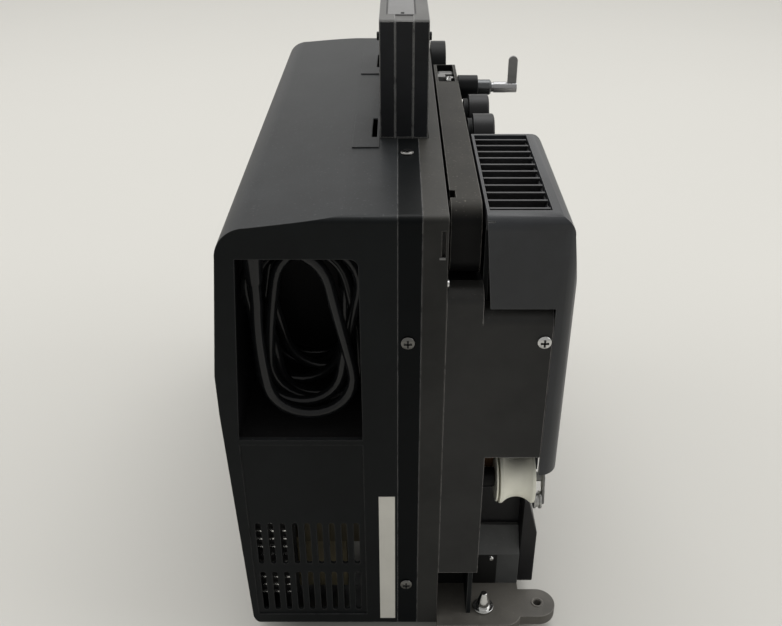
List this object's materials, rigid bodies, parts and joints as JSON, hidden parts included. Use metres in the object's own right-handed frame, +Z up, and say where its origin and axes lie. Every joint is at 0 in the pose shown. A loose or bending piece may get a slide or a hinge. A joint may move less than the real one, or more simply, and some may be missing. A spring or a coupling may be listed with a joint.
{
  "type": "film projector",
  "caption": "Boxy portable sound film projector with louvred lamphouse, folding reel arms, sliding carrying handle, open lens side and stowed mains lead.",
  "frame": {"origin": "on the floor below the middle of the object's box", "axes": "+X to the film side, +Y towards the screen, +Z up"},
  "size_m": [0.211, 0.3874, 0.3852],
  "materials": {
    "frame_paint": "satin warm grey-black enamel",
    "cover_black": "fine matt black moulding",
    "band_black": "smooth satin black",
    "base_paint": "worn brown-grey enamel",
    "plate_paint": "satin charcoal enamel",
    "lamphouse_grey": "matt charcoal",
    "bay_black": "matt black",
    "cord_rubber": "soft black sheath",
    "foot_rubber": "matt black",
    "bright_chrome": "polished",
    "spindle_steel": "turned and plated",
    "tab_steel": "grey plated",
    "film_steel": "fine ground",
    "arm_paint": "satin dark enamel, dusty",
    "bearing_black": "black",
    "block_grey": "cast",
    "roller_nylon": "ivory nylon",
    "sill_grey": "dark grey",
    "knob_black": "charcoal",
    "lens_black": "satin black",
    "clear_glass": "polished",
    "mirror_coat": "silvered",
    "ceramic": "fired ceramic look",
    "handle_black": "black crinkle",
    "inlay_metal": "satin brushed",
    "tray_zinc": "zinc plated",
    "core_steel": "stacked laminations",
    "coil_paper": "varnished paper",
    "board_brown": "olive-brown laminate",
    "motor_grey": "grey enamel"
  },
  "bodies": {
    "chassis": {"main_frame": "frame_paint", "cover_band": "band_black", "left_cover": "cover_black", "case_screws": "bright_chrome", "guide_plates": "cover_black", "cord_box": "bay_black", "cord_gland": "cord_rubber", "mains_cord": "cord_rubber", "mains_plug": "cord_rubber", "chassis_tray": "tray_zinc", "transformer_core": "core_steel", "transformer_coil": "coil_paper", "amplifier_board": "board_brown", "motor_body": "motor_grey", "base_plate": "base_paint", "lid_pins": "bright_chrome", "rubber_feet": "foot_rubber", "film_plate": "plate_paint", "rear_panel": "frame_paint", "lamp_socket": "ceramic", "projection_lamp": "clear_glass", "lamp_reflector": "mirror_coat", "condenser_lens": "clear_glass", "gate_block": "plate_paint", "aperture_plate": "film_steel", "lens_holder": "plate_paint", "drive_belt": "foot_rubber", "roller_post": "spindle_steel", "sill_panel": "sill_grey", "sill_screw": "bright_chrome", "sound_cover": "bay_black", "arm_pivots": "spindle_steel"},
    "lamphouse": {"lamphouse_cover": "lamphouse_grey", "louvre_grille": "lamphouse_grey"},
    "rear_arm": {"rear_arm": "arm_paint", "spindle_block": "block_grey", "rear_spindle_bearing": "bearing_black"},
    "rear_spindle": {"rear_spindle": "spindle_steel"},
    "rear_lock_tab": {"rear_lock_tab": "tab_steel"},
    "front_arm": {"front_arm": "arm_paint", "front_spindle_bearing": "bearing_black"},
    "front_spindle": {"front_spindle": "spindle_steel"},
    "front_lock_tab": {"front_lock_tab": "tab_steel"},
    "handle": {"handle_core": "handle_black", "handle_cheeks": "handle_black", "handle_inlay": "inlay_metal", "handle_pins": "tab_steel"},
    "function_knob": {"function_knob": "knob_black"},
    "volume_knob": {"volume_knob": "knob_black"},
    "focus_knob": {"focus_knob": "knob_black"},
    "lens": {"lens_barrel": "lens_black", "lens_glass": "clear_glass"},
    "pressure_plate": {"pressure_plate": "film_steel"},
    "guide_roller": {"guide_roller": "roller_nylon"},
    "keeper_roller": {"keeper_roller": "bright_chrome"},
    "upper_sprocket": {"upper_sprocket": "film_steel"},
    "lower_sprocket": {"lower_sprocket": "film_steel"},
    "sound_drum": {"sound_drum": "film_steel"},
    "motor_rotor": {"motor_rotor": "spindle_steel"},
    "shutter": {"shutter_disc": "lens_black"}
  },
  "joints": [
    {"name": "lamphouse_pull", "type": "slide", "parent": "chassis", "child": "lamphouse", "axis": [1, 0, 0], "range_m": [0, 0.06]},
    {"name": "rear_arm_swing", "type": "hinge", "parent": "chassis", "child": "rear_arm", "pos_m": [0.0325, -0.15325, 0.293], "axis": [1, 0, 0], "range_deg": [0, 150]},
    {"name": "rear_spindle_turn", "type": "hinge", "parent": "rear_arm", "child": "rear_spindle", "pos_m": [0.0475, 0.05525, 0.308], "axis": [1, 0, 0], "continuous": true},
    {"name": "rear_lock_flip", "type": "hinge", "parent": "rear_spindle", "child": "rear_lock_tab", "pos_m": [0.082, 0.05525, 0.308], "axis": [0, 1, 0], "range_deg": [0, 90]},
    {"name": "front_arm_swing", "type": "hinge", "parent": "chassis", "child": "front_arm", "pos_m": [0.0305, 0.14875, 0.296], "axis": [1, 0, 0], "range_deg": [0, 150]},
    {"name": "front_spindle_turn", "type": "hinge", "parent": "front_arm", "child": "front_spindle", "pos_m": [0.0475, 0.14875, 0.106], "axis": [1, 0, 0], "continuous": true},
    {"name": "front_lock_flip", "type": "hinge", "parent": "front_spindle", "child": "front_lock_tab", "pos_m": [0.082, 0.14875, 0.106], "axis": [0, 1, 0], "range_deg": [0, 90]},
    {"name": "handle_lift", "type": "slide", "parent": "chassis", "child": "handle", "axis": [0, 0, 1], "range_m": [-0.048, 0]},
    {"name": "function_turn", "type": "hinge", "parent": "chassis", "child": "function_knob", "pos_m": [0.0525, -0.02525, 0.3], "axis": [1, 0, 0], "range_deg": [-90, 90]},
    {"name": "volume_turn", "type": "hinge", "parent": "chassis", "child": "volume_knob", "pos_m": [0.0525, 0.01675, 0.3], "axis": [1, 0, 0], "range_deg": [0, 270]},
    {"name": "lens_focus", "type": "slide", "parent": "chassis", "child": "lens", "axis": [0, 1, 0], "range_m": [-0.004, 0.006]},
    {"name": "focus_turn", "type": "hinge", "parent": "chassis", "child": "focus_knob", "pos_m": [0.0825, 0.02575, 0.178], "axis": [1, 0, 0], "range_deg": [-200, 290]},
    {"name": "gate_open", "type": "slide", "parent": "chassis", "child": "pressure_plate", "axis": [0, 1, 0], "range_m": [0, 0.004]},
    {"name": "guide_roller_turn", "type": "hinge", "parent": "chassis", "child": "guide_roller", "pos_m": [0.0725, -0.16425, 0.123], "axis": [1, 0, 0], "continuous": true},
    {"name": "keeper_roller_turn", "type": "hinge", "parent": "chassis", "child": "keeper_roller", "pos_m": [0.0865, -0.17025, 0.109], "axis": [1, 0, 0], "continuous": true},
    {"name": "motor_turn", "type": "hinge", "parent": "chassis", "child": "motor_rotor", "pos_m": [-0.0025, 0.04575, 0.1], "axis": [1, 0, 0], "continuous": true},
    {"name": "upper_sprocket_turn", "type": "hinge", "parent": "chassis", "child": "upper_sprocket", "pos_m": [0.0725, 0.07575, 0.25], "axis": [1, 0, 0], "continuous": true},
    {"name": "lower_sprocket_turn", "type": "hinge", "parent": "chassis", "child": "lower_sprocket", "pos_m": [0.0725, -0.00825, 0.15], "axis": [1, 0, 0], "continuous": true},
    {"name": "shutter_turn", "type": "hinge", "parent": "chassis", "child": "shutter", "pos_m": [0.0725, -0.04625, 0.201], "axis": [0, 1, 0], "continuous": true},
    {"name": "sound_drum_turn", "type": "hinge", "parent": "chassis", "child": "sound_drum", "pos_m": [0.0725, -0.09025, 0.109], "axis": [1, 0, 0], "continuous": true}
  ],
  "couplings": [
    {"joint": "upper_sprocket_turn", "follows": "motor_turn", "ratio": 1},
    {"joint": "lower_sprocket_turn", "follows": "motor_turn", "ratio": 1},
    {"joint": "shutter_turn", "follows": "motor_turn", "ratio": 1},
    {"joint": "focus_turn", "follows": "lens_focus", "rad_per_m": 785.4}
  ]
}
